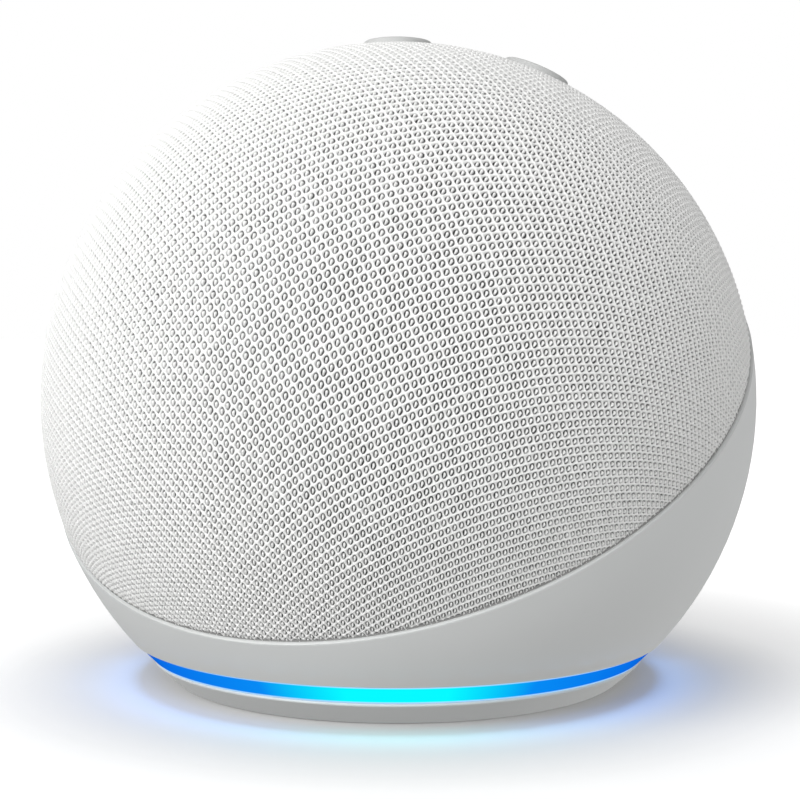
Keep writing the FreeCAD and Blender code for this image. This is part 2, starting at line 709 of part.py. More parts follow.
def speaker_wires():
    """Two wires from the enclosure's rear wall down to the board."""
    return group([wire([Vector(x, ENCLOSURE_END_Y, 40), Vector(x, ENCLOSURE_END_Y + 4, 40),
                        Vector(x, ENCLOSURE_END_Y + 4, BOARD_TOP)], 0.6) for x in (-9.0, -6.0)])


def led_cable():
    return disc(1.2, LED_BOARD_Z + LED_BOARD_T, BOARD_Z, 0, CABLE_Y)


def flex_cable():
    """A flat ribbon from the button board, down behind the enclosure, to the main board."""
    thick, half_width, gap = 0.3, 4.0, 0.45
    start = CROWN_PLACE.multVec(Vector(0, 17.0, BUTTON_BOARD_LOW - gap))
    route = [(start.y, start.z), (start.y - 2.0, start.z - 6.0), (20.0, 50.0), (20.0, BOARD_TOP)]
    side = [Vector(start.x - half_width, y, z) for y, z in route]
    other = [Vector(start.x - half_width, y + thick, z) for y, z in route[::-1]]
    outline = Part.makePolygon(side + other + side[:1])
    return Part.Face(outline).extrude(Vector(2 * half_width, 0, 0))


# ---------------------------------------------------------------- write every piece
def main():
    os.makedirs("parts", exist_ok=True)
    pieces = {
        "fabric_cover": fabric_cover(),
        "grille_shell": grille_shell(),
        "seam_trim": seam_trim(),
        "lower_housing": lower_housing(),
        "port_bezel": port_bezel(),
        "light_ring": light_ring(),
        "light_guide": light_guide(),
        "led_board": led_board(),
        "ring_leds": ring_leds(),
        "led_cable": led_cable(),
        "base_plate": base_plate(),
        "base_screws": base_screws(),
        "rubber_foot": rubber_foot(),
        "chassis": chassis(),
        "main_board": main_board(),
        "board_screws": board_screws(),
        "board_chips": board_chips(),
        "rf_shield": rf_shield(),
        "thermal_pad": thermal_pad(),
        "heat_spreader": heat_spreader(),
        "power_capacitors": power_capacitors(),
        "antennas": antennas(),
        "power_inlet": power_inlet(),
        "power_inlet_pin": power_inlet_pin(),
        "audio_socket": audio_socket(),
        "driver_basket": driver_basket(),
        "driver_screws": driver_screws(),
        "driver_top_plate": driver_top_plate(),
        "driver_magnet": driver_magnet(),
        "driver_yoke": driver_yoke(),
        "driver_gasket": driver_gasket(),
        "voice_coil": voice_coil(),
        "spider": spider(),
        "speaker_cone": speaker_cone(),
        "dust_cap": dust_cap(),
        "surround": surround(),
        "front_baffle": front_baffle(),
        "speaker_enclosure": speaker_enclosure(),
        "enclosure_screws": enclosure_screws(),
        "speaker_wires": speaker_wires(),
        "flex_cable": flex_cable(),
        "button_guide": button_guide(),
        "guide_screws": guide_screws(),
        "button_board": button_board(),
        "button_board_screws": button_board_screws(),
        "tact_switches": tact_switches(),
        "microphones": microphones(),
        "mic_seals": mic_seals(),
    }
    for name, (x, y) in BUTTONS.items():
        pieces[name + "_button"] = button(x, y)
        pieces[name + "_plunger"] = plunger(x, y)
    for name, shape in pieces.items():
        save(name, shape)


main()
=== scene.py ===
import json
import math

import bmesh
import bpy
import numpy as np
from mathutils import Matrix, Vector


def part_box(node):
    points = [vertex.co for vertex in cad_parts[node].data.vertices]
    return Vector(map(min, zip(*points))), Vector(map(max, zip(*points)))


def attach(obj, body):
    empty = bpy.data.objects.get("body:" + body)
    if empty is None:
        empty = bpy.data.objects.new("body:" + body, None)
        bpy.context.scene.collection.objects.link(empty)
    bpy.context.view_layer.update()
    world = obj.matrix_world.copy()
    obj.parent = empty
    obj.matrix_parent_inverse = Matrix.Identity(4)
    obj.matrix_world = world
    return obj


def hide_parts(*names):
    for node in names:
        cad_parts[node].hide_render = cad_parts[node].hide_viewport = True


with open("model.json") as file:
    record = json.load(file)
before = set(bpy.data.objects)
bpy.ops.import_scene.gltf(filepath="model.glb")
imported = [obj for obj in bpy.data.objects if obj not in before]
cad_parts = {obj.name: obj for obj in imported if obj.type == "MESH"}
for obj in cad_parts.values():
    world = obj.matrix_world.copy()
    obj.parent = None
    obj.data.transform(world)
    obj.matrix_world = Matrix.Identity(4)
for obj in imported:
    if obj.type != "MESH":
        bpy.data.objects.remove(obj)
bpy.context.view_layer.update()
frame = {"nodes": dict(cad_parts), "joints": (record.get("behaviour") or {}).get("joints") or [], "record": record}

# ---------------------------------------------------------------- driving values, in metres
MM = 0.001
NODES = frame["nodes"]
BODY = "speaker_body"

BALL_CENTRE = Vector((0, 0, 39.0 * MM))
COVER_R = 49.8 * MM

SEAM_TILT = math.radians(34.3)      # the seam plane is low in front and high at the back
SEAM_OFFSET = 1.0 * MM              # its distance from the ball's centre
SEAM_GAP = 0.3 * MM
SEAM_INSET = 0.07 * MM              # the cover stops this far above the housing's rim
HOLE_INSET = 0.03 * MM              # and this far outside each button's hole
SEAM_NORMAL = np.array([0.0, -math.sin(SEAM_TILT), math.cos(SEAM_TILT)])

BUTTON_NAMES = ("volume_up", "volume_down", "action", "mic_mute")
BUTTON_HOLE_R = 4.95 * MM
BUTTON_TOP_R = 50.65 * MM           # the ball that the buttons' tops lie on

VOICE_ANGLE = math.radians(25.4)    # the ring is brightest towards whoever is talking


def node_material(name):
    material = bpy.data.materials.new(name)
    material.use_nodes = True
    tree = material.node_tree
    return material, tree, tree.nodes["Principled BSDF"]


def new_node(tree, kind, **values):
    node = tree.nodes.new(kind)
    for key, value in values.items():
        if hasattr(node, key):
            setattr(node, key, value)
        else:
            node.inputs[key.replace("_", " ")].default_value = value
    return node


def object_noise(tree, scale, detail=2.0, roughness=0.5):
    """A noise in the object's own coordinates, scale in features per metre."""
    place = new_node(tree, "ShaderNodeTexCoord")
    noise = new_node(tree, "ShaderNodeTexNoise", Scale=scale, Detail=detail, Roughness=roughness)
    tree.links.new(place.outputs["Object"], noise.inputs["Vector"])
    return noise.outputs["Fac"]


def ramp(tree, source, stops):
    """A colour ramp from (position, colour) stops."""
    node = tree.nodes.new("ShaderNodeValToRGB")
    elements = node.color_ramp.elements
    while len(elements) < len(stops):
        elements.new(0.5)
    for element, (position, colour) in zip(elements, stops):
        element.position = position
        element.color = (*colour, 1.0)
    tree.links.new(source, node.inputs["Fac"])
    return node.outputs["Color"]


def bump(tree, source, shader, distance, strength=1.0):
    node = new_node(tree, "ShaderNodeBump", Distance=distance, Strength=strength)
    tree.links.new(source, node.inputs["Height"])
    tree.links.new(node.outputs["Normal"], shader.inputs["Normal"])


def spread(colour, share):
    return tuple(max(0.0, min(1.0, c * share)) for c in colour)


def surface(name, colour, vary=0.04, roughness=0.5, metallic=0.0, grain=2500.0, grain_depth=0.02 * MM,
            patch=60.0, specular=0.5):
    """A moulded, pressed or coated surface: soft colour drift, fine grain and uneven gloss."""
    material, tree, shader = node_material(name)
    drift = object_noise(tree, patch, 3.0)
    tree.links.new(ramp(tree, drift, [(0.3, spread(colour, 1 - vary)), (0.7, spread(colour, 1 + vary))]),
                   shader.inputs["Base Color"])
    gloss = new_node(tree, "ShaderNodeMapRange", To_Min=roughness * 0.92, To_Max=min(1.0, roughness * 1.08))
    tree.links.new(object_noise(tree, patch * 4, 2.0), gloss.inputs["Value"])
    tree.links.new(gloss.outputs["Result"], shader.inputs["Roughness"])
    bump(tree, object_noise(tree, grain, 2.0), shader, grain_depth)
    shader.inputs["Metallic"].default_value = metallic
    shader.inputs["Specular IOR Level"].default_value = specular
    return material


# ---------------------------------------------------------------- the crown of four buttons
def button_centre(name):
    low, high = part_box(name + "_plunger")
    return (low + high) / 2


def crown_frame():
    """Rows: across the crown from one volume button to the other, to its rear, and outward."""
    press = next(j for j in frame["joints"] if j["name"] == "action_press")["axis"]
    up = -Vector(press).normalized()
    across = button_centre("volume_up") - button_centre("volume_down")
    across = (across - up * across.dot(up)).normalized()
    return np.array([list(across), list(up.cross(across)), list(up)])


CROWN_FRAME = crown_frame()
BUTTON_PLACES = {name: CROWN_FRAME[:2] @ np.array(button_centre(name) - BALL_CENTRE)
                 for name in BUTTON_NAMES}


# ---------------------------------------------------------------- mesh helpers
def quick_mesh(name, points, face_groups):
    """A mesh from points and arrays of faces, each array with one number of corners, and the points used."""
    counts = np.concatenate([np.full(len(f), f.shape[1], np.int32) for f in face_groups])
    corners = np.concatenate([f.ravel() for f in face_groups]).astype(np.int32)
    used, corners = np.unique(corners, return_inverse=True)
    points = np.ascontiguousarray(points[used], np.float32)
    starts = np.concatenate([[0], np.cumsum(counts)[:-1]]).astype(np.int32)
    mesh = bpy.data.meshes.new(name)
    mesh.vertices.add(len(points))
    mesh.vertices.foreach_set("co", points.ravel())
    mesh.loops.add(len(corners))
    mesh.loops.foreach_set("vertex_index", corners.astype(np.int32).ravel())
    mesh.polygons.add(len(counts))
    mesh.polygons.foreach_set("loop_start", starts)
    mesh.polygons.foreach_set("use_smooth", np.ones(len(counts), bool))
    mesh.update(calc_edges=True)
    mesh.validate()
    piece = bpy.data.objects.new(name, mesh)
    bpy.context.scene.collection.objects.link(piece)
    return piece, used


def face_areas(points, faces):
    """The area of each triangle or quad."""
    if faces.shape[1] == 3:
        across, along = points[faces[:, 1]] - points[faces[:, 0]], points[faces[:, 2]] - points[faces[:, 0]]
    else:
        across, along = points[faces[:, 2]] - points[faces[:, 0]], points[faces[:, 3]] - points[faces[:, 1]]
    return np.linalg.norm(np.cross(across, along), axis=1) / 2


# ---------------------------------------------------------------- the knitted cover
# The knit is a lattice of two yarn families laid flat and drawn over the ball from a pole near the
# middle of the cover. A flat point at distance s from the pole lands where s = R (t + DRAW t^3).
KNIT_POLE_LON = math.radians(-6.0)
KNIT_POLE_LAT = math.radians(59.5)
KNIT_DRAW = 0.024
KNIT_PITCH = (1.191 * MM, 1.225 * MM)
KNIT_TURN = (math.radians(-49.1), math.radians(50.4))
KNIT_SPAN = 1.75                     # no part of the cover is further than this from the pole, in radians
KNIT_SIDES = 12                      # points round one opening or one loop
KNIT_WOBBLE = 0.02                   # slow waves of the whole net, in lattice steps
OPENING_LONG = 0.48                  # half-length of an opening in the net, in lattice steps
OPENING_SHORT = 0.28
OPENING_STRAY = 0.010                # how unevenly the openings lie, in lattice steps
OPENING_SWELL = 0.022                # and how unevenly large they are
LOOP_SHARE = 0.70                    # size of the inner loop as a share of the opening
LOOP_REACH = 0.15                    # it reaches further towards the ends of the opening
LOOP_WAVE = 0.11                     # and its edge waves
LOOP_WAIST = 0.62                    # its upper bend as a share of its foot
LOOP_ROOM = 0.08 * MM                # least distance from a loop's middle to an edge of the cover
LOOP_TURN = math.radians(25)
LOOP_TURN_STRAY = 0.30               # unevenness of the waves' turn, in radians
LOOP_SHARE_STRAY = 0.02
LOOP_STRAY = 0.022                   # and of the loops' places, in lattice steps
YARN_LEAN = 0.012 * MM               # unevenness of the yarns' height
YARN_TOP = COVER_R                   # where two yarns cross; they sag between crossings
YARN_SAG = 0.13 * MM
YARN_SHOULDER = COVER_R - 0.13 * MM
YARN_EDGE = COVER_R - 0.32 * MM
LOOP_TOP = COVER_R - 0.03 * MM
LOOP_BEND = LOOP_TOP - 0.05 * MM
LOOP_EDGE = COVER_R - 0.36 * MM
GROUND_R = COVER_R - 0.52 * MM
TUCK = 0.20 * MM                     # how far the cover dips where it is tucked in
TUCK_REACH = 0.8 * MM
BETWEEN_SHADE = 0.90                 # light left between crossings, on the shoulder and at an opening's edge
SHOULDER_SHADE = 0.90
EDGE_SHADE = 0.54
LOOP_SHADES = (0.95, 0.88, 0.45)     # and on a loop's crest, bend and foot
SAFE_FACE = 1e-10                    # faces smaller than this, in square metres, are dropped


def knit_axes():
    pole = np.array([math.cos(KNIT_POLE_LAT) * math.sin(KNIT_POLE_LON),
                     -math.cos(KNIT_POLE_LAT) * math.cos(KNIT_POLE_LON), math.sin(KNIT_POLE_LAT)])
    east = np.array([math.cos(KNIT_POLE_LON), math.sin(KNIT_POLE_LON), 0.0])
    return pole, east, np.cross(pole, east)


def lay_flat(lattice):
    """Points in metres on the flat cloth, for points given in lattice steps."""
    steps = np.array([[math.cos(turn) / pitch, math.sin(turn) / pitch]
                      for turn, pitch in zip(KNIT_TURN, KNIT_PITCH)])
    return lattice @ np.linalg.inv(steps).T


def knit_directions(lattice):
    """Unit directions from the ball's centre for points given in lattice steps."""
    pole, east, north = knit_axes()
    flat = lay_flat(lattice)
    reach = np.hypot(flat[:, 0], flat[:, 1]) + 1e-12
    angle = reach / COVER_R
    for _ in range(6):
        angle -= (angle + KNIT_DRAW * angle ** 3 - reach / COVER_R) / (1 + 3 * KNIT_DRAW * angle ** 2)
    across = np.sin(angle) / reach
    return (np.cos(angle)[:, None] * pole + (across * flat[:, 0])[:, None] * east
            + (across * flat[:, 1])[:, None] * north)


def trim_to_cover(way):
    """Directions, with those outside the cover moved onto its edge, their room to it, and which moved."""
    least = (SEAM_OFFSET - SEAM_GAP / 2 + SEAM_INSET) / COVER_R
    height = way @ SEAM_NORMAL
    beside = way - height[:, None] * SEAM_NORMAL
    beside /= np.linalg.norm(beside, axis=1)[:, None] + 1e-12
    outside = height < least
    onto_seam = least * SEAM_NORMAL + math.sqrt(1 - least ** 2) * beside
    way = np.where(outside[:, None], onto_seam, way)
    room = np.arcsin(np.clip(way @ SEAM_NORMAL, -1, 1)) - math.asin(least)
    room = np.maximum(room, 0) * COVER_R
    hole = BUTTON_HOLE_R + HOLE_INSET
    local = way @ CROWN_FRAME.T * COVER_R
    up = local[:, 2] > 0
    for place in BUTTON_PLACES.values():
        off = local[:, :2] - place
        far = np.linalg.norm(off, axis=1) + 1e-12
        inside = up & (far < hole)
        moved = place + off / far[:, None] * hole
        local[:, :2] = np.where(inside[:, None], moved, local[:, :2])
        room = np.where(up, np.minimum(room, np.maximum(far - hole, 0)), room)
        outside = outside | inside
    level = np.sqrt(np.maximum(COVER_R ** 2 - (local[:, :2] ** 2).sum(1), 0))
    local[:, 2] = np.where(up, level, local[:, 2])
    return local @ CROWN_FRAME / COVER_R, room, outside


def lay_knit(lattice, radius):
    """Points of the knit on the ball, tucked in at every edge, and which ones were outside."""
    way, room, outside = trim_to_cover(knit_directions(lattice))
    dip = np.clip(1 - room / TUCK_REACH, 0, 1)
    radius = radius - TUCK * dip * dip * (3 - 2 * dip)
    return way * np.asarray(radius)[:, None] + np.array(BALL_CENTRE), outside


def square_outline():
    """KNIT_SIDES points round the lattice square, from its middle."""
    per_side = KNIT_SIDES // 4
    steps = np.arange(per_side) / per_side
    sides = [np.stack([steps, 0 * steps], 1), np.stack([1 + 0 * steps, steps], 1),
             np.stack([1 - steps, 1 + 0 * steps], 1), np.stack([0 * steps, 1 - steps], 1)]
    return np.concatenate(sides) - 0.5


def loop_outline(long_half, short_half):
    """Points round an oval opening, one on each line from its middle to the lattice square's edge."""
    rim = square_outline()
    along, across = (rim[:, 0] - rim[:, 1]) / math.sqrt(2), (rim[:, 0] + rim[:, 1]) / math.sqrt(2)
    reach = np.sqrt((along / long_half) ** 2 + (across / short_half) ** 2)
    return rim / reach[:, None]


def knit_cells():
    """The lattice squares that lie at least partly on the cover."""
    reach = int(2.0 * COVER_R / min(KNIT_PITCH)) + 4
    grid = np.arange(-reach, reach)
    cells = np.stack(np.meshgrid(grid, grid, indexing="ij"), -1).reshape(-1, 2)
    flat = lay_flat(cells + 0.5)
    longest = COVER_R * (KNIT_SPAN + KNIT_DRAW * KNIT_SPAN ** 3)
    cells = cells[np.hypot(flat[:, 0], flat[:, 1]) < longest]
    inside = np.zeros(len(cells), bool)
    for corner in ((0, 0), (1, 0), (0, 1), (1, 1)):
        inside |= ~trim_to_cover(knit_directions(cells + np.array(corner, float)))[2]
    return cells[inside]


def sound_faces(points, faces):
    """The faces that have some area."""
    return faces[face_areas(points, faces) > SAFE_FACE]


def shaded(piece, shades):
    """Keeps how much light reaches each point between the yarns, for the yarn's colour."""
    layer = piece.data.attributes.new("yarn_painted_shade", "FLOAT", "POINT")
    layer.data.foreach_set("value", np.ascontiguousarray(shades, np.float32))


def make_net(cells, rng):
    """The open net of crossing yarns, one opening to a lattice square."""
    n, k = len(cells), KNIT_SIDES
    per_side = k // 4
    rim = square_outline() + 0.5
    keys = np.rint((cells[:, None, :] + rim[None]) * per_side).astype(np.int64)
    shared, index = np.unique(keys.reshape(-1, 2), axis=0, return_inverse=True)
    index = index.reshape(n, k)
    rim_lattice = shared / per_side
    wobble = KNIT_WOBBLE * np.sin(rim_lattice * 0.9 + rim_lattice[:, ::-1] * 0.37)
    crossing = (shared % per_side == 0).all(1)
    rim_radius = np.where(crossing, YARN_TOP, YARN_TOP - YARN_SAG)

    middle = cells + 0.5 + rng.normal(0, OPENING_STRAY, (n, 2))
    swell = 1 + rng.normal(0, OPENING_SWELL, n)
    lean = np.repeat(rng.normal(0, YARN_LEAN, n), k)
    opening = loop_outline(OPENING_LONG, OPENING_SHORT)
    shoulder = square_outline() * 0.5 + opening * 0.5
    ring_points = [(middle[:, None] + ring[None] * swell[:, None, None]).reshape(-1, 2)
                   for ring in (shoulder, opening)]
    lattice = np.concatenate([rim_lattice + wobble] + ring_points)
    radius = np.concatenate([rim_radius, YARN_SHOULDER + lean, YARN_EDGE + lean])
    shades = np.concatenate([np.where(crossing, 1.0, BETWEEN_SHADE), np.full(n * k, SHOULDER_SHADE),
                             np.full(n * k, EDGE_SHADE)])
    points, outside = lay_knit(lattice, radius)
    first = len(rim_lattice)
    rings = [index] + [first + step * n * k + np.arange(n * k).reshape(n, k) for step in (0, 1)]
    faces = np.concatenate([np.stack([outer, np.roll(outer, -1, 1), np.roll(inner, -1, 1), inner],
                                     -1).reshape(-1, 4) for outer, inner in zip(rings, rings[1:])])
    faces = sound_faces(points, faces[~outside[faces].all(1)])
    net, used = quick_mesh("knit_net", points, [faces])
    shaded(net, shades[used])
    return net


def make_loops(cells, rng):
    """The inner loop in each opening of the net, wider towards the opening's ends."""
    room = trim_to_cover(knit_directions(cells + 0.5))[1]
    middle = cells[room > LOOP_ROOM] + 0.5
    m, sides = len(middle), KNIT_SIDES
    turn = np.arange(sides) / sides * 2 * math.pi
    along = np.array([1.0, -1.0]) / math.sqrt(2) * OPENING_LONG
    across = np.array([1.0, 1.0]) / math.sqrt(2) * OPENING_SHORT
    oval = np.cos(turn)[:, None] * along + np.sin(turn)[:, None] * across
    waves = LOOP_TURN + rng.normal(0, LOOP_TURN_STRAY, m)
    share = LOOP_SHARE + rng.normal(0, LOOP_SHARE_STRAY, m)
    edge = (share[:, None] + LOOP_REACH * np.cos(2 * turn[None])
            + LOOP_WAVE * np.cos(3 * turn[None] + waves[:, None]))
    shift = rng.normal(0, LOOP_STRAY, (m, 1, 2))
    skirt = middle[:, None] + shift * 0.5 + oval[None] * edge[..., None]
    waist = middle[:, None] + shift + oval[None] * (LOOP_WAIST * edge + 0.02)[..., None]
    lift = rng.normal(0, YARN_LEAN, m)
    lattice = np.concatenate([middle + shift[:, 0], waist.reshape(-1, 2), skirt.reshape(-1, 2)])
    radius = np.concatenate([LOOP_TOP + lift, np.repeat(LOOP_BEND + lift, sides),
                             np.full(m * sides, LOOP_EDGE)])
    shades = np.concatenate([np.full(count, shade)
                             for count, shade in zip((m, m * sides, m * sides), LOOP_SHADES)])
    points = lay_knit(lattice, radius)[0]
    crest = np.arange(m)
    waist_index = m + np.arange(m * sides).reshape(m, sides)
    skirt_index = waist_index + m * sides
    caps = np.stack([np.repeat(crest[:, None], sides, 1), waist_index, np.roll(waist_index, -1, 1)],
                    -1).reshape(-1, 3)
    walls = np.stack([waist_index, skirt_index, np.roll(skirt_index, -1, 1), np.roll(waist_index, -1, 1)],
                     -1).reshape(-1, 4)
    caps, walls = sound_faces(points, caps), sound_faces(points, walls)
    loops, used = quick_mesh("knit_loops", points, [caps, walls])
    shaded(loops, shades[used])
    return loops


def make_ground(cells):
    """The layer behind the knit, its near-black colour painted shade behind the openings."""
    corners = cells[:, None, :] + np.array([[0, 0], [1, 0], [1, 1], [0, 1]])[None]
    shared, index = np.unique(corners.reshape(-1, 2), axis=0, return_inverse=True)
    points, outside = lay_knit(shared.astype(float), np.full(len(shared), GROUND_R))
    faces = index.reshape(-1, 4)
    faces = sound_faces(points, faces[~outside[faces].all(1)])
    return quick_mesh("knit_ground", points, [faces])[0]


def yarn_material(name, dark, light):
    """Matt yarn, with painted shade where it dips between its neighbours, with fibres as fine grain."""
    material, tree, shader = node_material(name)
    shade = new_node(tree, "ShaderNodeAttribute", attribute_name="yarn_painted_shade")
    fibres = object_noise(tree, 2600.0, 2.0)
    drift = new_node(tree, "ShaderNodeMapRange", To_Min=-0.04, To_Max=0.04)
    tree.links.new(fibres, drift.inputs["Value"])
    mixed = new_node(tree, "ShaderNodeMath", operation="ADD")
    tree.links.new(shade.outputs["Fac"], mixed.inputs[0])
    tree.links.new(drift.outputs["Result"], mixed.inputs[1])
    # painted shade: the yarn's colour runs from dark to light with the kept shade of each point
    tree.links.new(ramp(tree, mixed.outputs[0], [(0.15, dark), (1.0, light)]), shader.inputs["Base Color"])
    bump(tree, object_noise(tree, 9000.0, 2.0), shader, 0.02 * MM)
    shader.inputs["Roughness"].default_value = 0.85
    shader.inputs["Specular IOR Level"].default_value = 0.1
    return material


def make_cover():
    """The knitted cover: net, inner loops and the layer behind them."""
    rng = np.random.default_rng(11)
    cells = knit_cells()
    net, loops, ground = make_net(cells, rng), make_loops(cells, rng), make_ground(cells)
    net.data.materials.append(yarn_material("knit_yarn_white", (0.20, 0.20, 0.20), (0.94, 0.94, 0.93)))
    loops.data.materials.append(yarn_material("knit_loop_grey", (0.18, 0.18, 0.18), (0.92, 0.92, 0.91)))
    # painted shade: the layer behind the knit is coloured near black for the shade behind the openings
    ground.data.materials.append(surface("knit_ground_painted_shade", (0.09, 0.09, 0.09), vary=0.10,
                                         roughness=0.95, grain=5000.0, patch=900.0, specular=0.1))
    for piece in (net, loops, ground):
        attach(piece, BODY)
        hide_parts("fabric_cover")


# ---------------------------------------------------------------- marks on the buttons
MARK_PROUD = 0.05 * MM
MARK_SUNK = 0.06 * MM
MARK_SIZE = 1.3 * MM                # the unit in which the outlines below are drawn


def bar(middle, long_half, short_half, turn):
    """The corners of a bar with rounded ends."""
    points = []
    for end in (1, -1):
        for step in range(7):
            swing = math.pi * (step / 6 - 0.5)
            points.append((end * (long_half - short_half + short_half * math.cos(swing)),
                           end * short_half * math.sin(swing)))
    c, s = math.cos(turn), math.sin(turn)
    return [(middle[0] + x * c - y * s, middle[1] + x * s + y * c) for x, y in points]


def arch(middle, radius, width, start, end):
    """A band bent round a middle from one angle to another."""
    steps = [start + (end - start) * i / 12 for i in range(13)]
    sides = ((radius + width / 2, steps), (radius - width / 2, steps[::-1]))
    return [(middle[0] + reach * math.cos(a), middle[1] + reach * math.sin(a))
            for reach, turns in sides for a in turns]


MARKS = {
    "volume_up": [bar((0, 0), 1.3, 0.16, 0.0), bar((0, 0.73), 0.57, 0.16, math.pi / 2),
                  bar((0, -0.73), 0.57, 0.16, math.pi / 2)],
    "volume_down": [bar((0, 0), 1.3, 0.16, 0.0)],
    "action": [[(0.45 * math.cos(math.pi * i / 9), 0.45 * math.sin(math.pi * i / 9)) for i in range(18)]],
    "mic_mute": [bar((0, 0.35), 0.75, 0.34, math.pi / 2),
                 arch((0, 0.15), 0.85, 0.2, math.pi, 2 * math.pi),
                 bar((0, -1.15), 0.22, 0.1, math.pi / 2), bar((0, -1.4), 0.5, 0.1, 0.0)],
}


def make_marks():
    """A slightly raised symbol on each button, which moves with it."""
    ink = surface("mark_ink", (0.16, 0.16, 0.165), vary=0.08, roughness=0.6, grain=5000.0)
    for name, outlines in MARKS.items():
        shape = bmesh.new()
        for outline in outlines:
            rings = []
            for height in (-MARK_SUNK, MARK_PROUD):
                ring = []
                for x, y in outline:
                    local = BUTTON_PLACES[name] + np.array([x, y]) * MARK_SIZE
                    level = math.sqrt((BUTTON_TOP_R + height) ** 2 - (local ** 2).sum())
                    spot = np.append(local, level) @ CROWN_FRAME + np.array(BALL_CENTRE)
                    ring.append(shape.verts.new(spot))
                rings.append(ring)
            low, high = rings
            shape.faces.new(high)
            for i, vertex in enumerate(low):
                after = (i + 1) % len(low)
                shape.faces.new((vertex, low[after], high[after], high[i]))
        bmesh.ops.triangulate(shape, faces=[f for f in shape.faces if len(f.verts) > 4])
        bmesh.ops.recalc_face_normals(shape, faces=shape.faces)
        mesh = bpy.data.meshes.new(name + "_mark")
        shape.to_mesh(mesh)
        shape.free()
        mesh.materials.append(ink)
        mark = bpy.data.objects.new(name + "_mark", mesh)
        bpy.context.scene.collection.objects.link(mark)
        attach(mark, name)


# ---------------------------------------------------------------- finishes for the CAD pieces
CYAN = (0.0, 0.95, 1.0)
AZURE = (0.0, 0.25, 0.90)
BLUE = (0.0, 0.15, 0.80)
DEEP_BLUE = (0.0, 0.04, 0.30)
RING_RIM_PAINTED_HIGHLIGHT = (0.40, 0.70, 1.0)
RING_GLOW = ((0, CYAN), (10, CYAN), (28, AZURE), (58, BLUE), (88, DEEP_BLUE))   # by degrees from the voice; the fade to deep blue towards the ring's sides is partly painted shade of its recess


def ring_material():
    """A lit diffuser: brightest and most cyan towards the voice, deep blue round the back, its fade to deep blue
    at its sides partly painted shade, with painted highlights along its upper and lower edges.
    """
    material, tree, shader = node_material("ring_diffuser_lit")
    place = new_node(tree, "ShaderNodeTexCoord")
    split = new_node(tree, "ShaderNodeSeparateXYZ")
    tree.links.new(place.outputs["Object"], split.inputs["Vector"])
    turn = new_node(tree, "ShaderNodeVectorRotate", rotation_type="Z_AXIS")
    turn.inputs["Angle"].default_value = -VOICE_ANGLE
    tree.links.new(place.outputs["Object"], turn.inputs["Vector"])
    turned = new_node(tree, "ShaderNodeSeparateXYZ")
    tree.links.new(turn.outputs["Vector"], turned.inputs["Vector"])
    front = new_node(tree, "ShaderNodeMath", operation="MULTIPLY")
    front.inputs[1].default_value = -1.0
    tree.links.new(turned.outputs["Y"], front.inputs[0])
    angle = new_node(tree, "ShaderNodeMath", operation="ARCTAN2")
    tree.links.new(turned.outputs["X"], angle.inputs[0])
    tree.links.new(front.outputs[0], angle.inputs[1])
    size = new_node(tree, "ShaderNodeMath", operation="ABSOLUTE")
    tree.links.new(angle.outputs[0], size.inputs[0])
    share = new_node(tree, "ShaderNodeMath", operation="DIVIDE")
    share.inputs[1].default_value = math.pi
    tree.links.new(size.outputs[0], share.inputs[0])
    glow = ramp(tree, share.outputs[0], [(degrees / 180.0, colour) for degrees, colour in RING_GLOW])
    low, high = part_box("light_ring")
    edge = new_node(tree, "ShaderNodeMapRange", From_Min=low.z, From_Max=high.z)
    tree.links.new(split.outputs["Z"], edge.inputs["Value"])
    # painted highlight: pale light along the ring's upper and lower edges, where the housing and base catch its
    # glow
    band = ramp(tree, edge.outputs["Result"], [(0.0, (1, 1, 1)), (0.05, (1, 1, 1)), (0.10, (0, 0, 0)),
                                               (0.90, (0, 0, 0)), (0.95, (1, 1, 1)), (1.0, (1, 1, 1))])
    mix = new_node(tree, "ShaderNodeMix", data_type="RGBA")
    colour_inputs = [s for s in mix.inputs if s.type == "RGBA"]
    tree.links.new(band, mix.inputs["Factor"])
    tree.links.new(glow, colour_inputs[0])
    colour_inputs[1].default_value = (*RING_RIM_PAINTED_HIGHLIGHT, 1)
    colour_output = next(s for s in mix.outputs if s.type == "RGBA")
    tree.links.new(colour_output, shader.inputs["Emission Color"])
    shader.inputs["Emission Strength"].default_value = 1.0
    shader.inputs["Base Color"].default_value = (0.004, 0.01, 0.02, 1)
    shader.inputs["Roughness"].default_value = 0.6
    shader.inputs["Specular IOR Level"].default_value = 0.0
    return material


